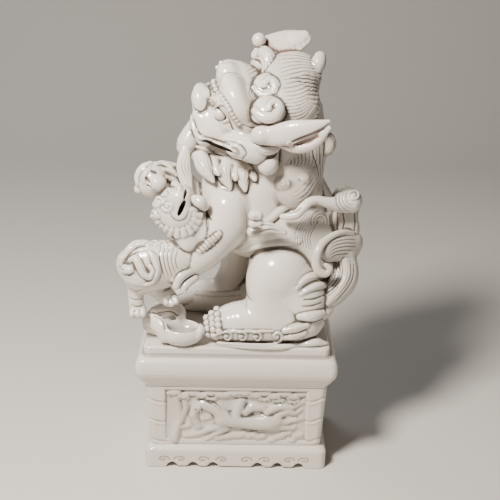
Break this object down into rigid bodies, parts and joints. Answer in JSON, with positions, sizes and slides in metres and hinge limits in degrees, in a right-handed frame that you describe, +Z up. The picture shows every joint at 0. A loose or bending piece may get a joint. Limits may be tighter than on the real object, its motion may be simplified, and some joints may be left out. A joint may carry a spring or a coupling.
{
  "type": "guardian lion statue",
  "caption": "Glazed porcelain guardian lion with cubs on a rectangular moulded plinth, head turned and one paw raised on a cub.",
  "frame": {"origin": "centre of the bounding box on the plane the plinth stands on", "axes": "+Z up, the lion faces -X, its near side with the raised cub and the galloping horse panel faces -Y"},
  "size_m": [0.192, 0.1108, 0.3534],
  "materials": {
    "ivory_glaze": "clear glossy glaze over ivory white porcelain",
    "washed_glaze": "glossy glaze with a thin grey-brown wash in the carved lines",
    "pink_glaze": "glossy glaze, faint pink tint inside the ears"
  },
  "bodies": {
    "root": {"plinth_foot": "ivory_glaze", "plinth_body": "ivory_glaze", "plinth_cap": "ivory_glaze", "relief_front": "washed_glaze", "relief_back": "washed_glaze", "relief_right": "washed_glaze", "relief_left": "washed_glaze", "torso": "ivory_glaze", "head": "ivory_glaze", "lower_jaw": "ivory_glaze", "near_eye": "ivory_glaze", "far_eye": "ivory_glaze", "hairline_curl_mid": "ivory_glaze", "hairline_curl_near": "ivory_glaze", "hairline_curl_far": "ivory_glaze", "near_ear": "pink_glaze", "far_ear": "pink_glaze", "crown_hair": "washed_glaze", "near_hind_leg": "ivory_glaze", "far_hind_leg": "ivory_glaze", "near_foreleg": "ivory_glaze", "far_foreleg": "ivory_glaze", "neck_mane": "washed_glaze", "near_cheek_tuft": "ivory_glaze", "far_cheek_tuft": "ivory_glaze", "near_beard": "ivory_glaze", "far_beard": "ivory_glaze", "near_elbow_tuft": "ivory_glaze", "far_elbow_tuft": "ivory_glaze", "tail_plume": "washed_glaze", "tail_scroll": "washed_glaze", "tail_horn": "ivory_glaze", "leg_tuft": "ivory_glaze", "cub_under_paw": "ivory_glaze", "cub_hind_paw": "washed_glaze", "cub_at_chin": "ivory_glaze", "cub_rider": "ivory_glaze", "mouth_leaf": "ivory_glaze", "scarf": "ivory_glaze", "ground_leaf": "ivory_glaze"}
  },
  "joints": []
}
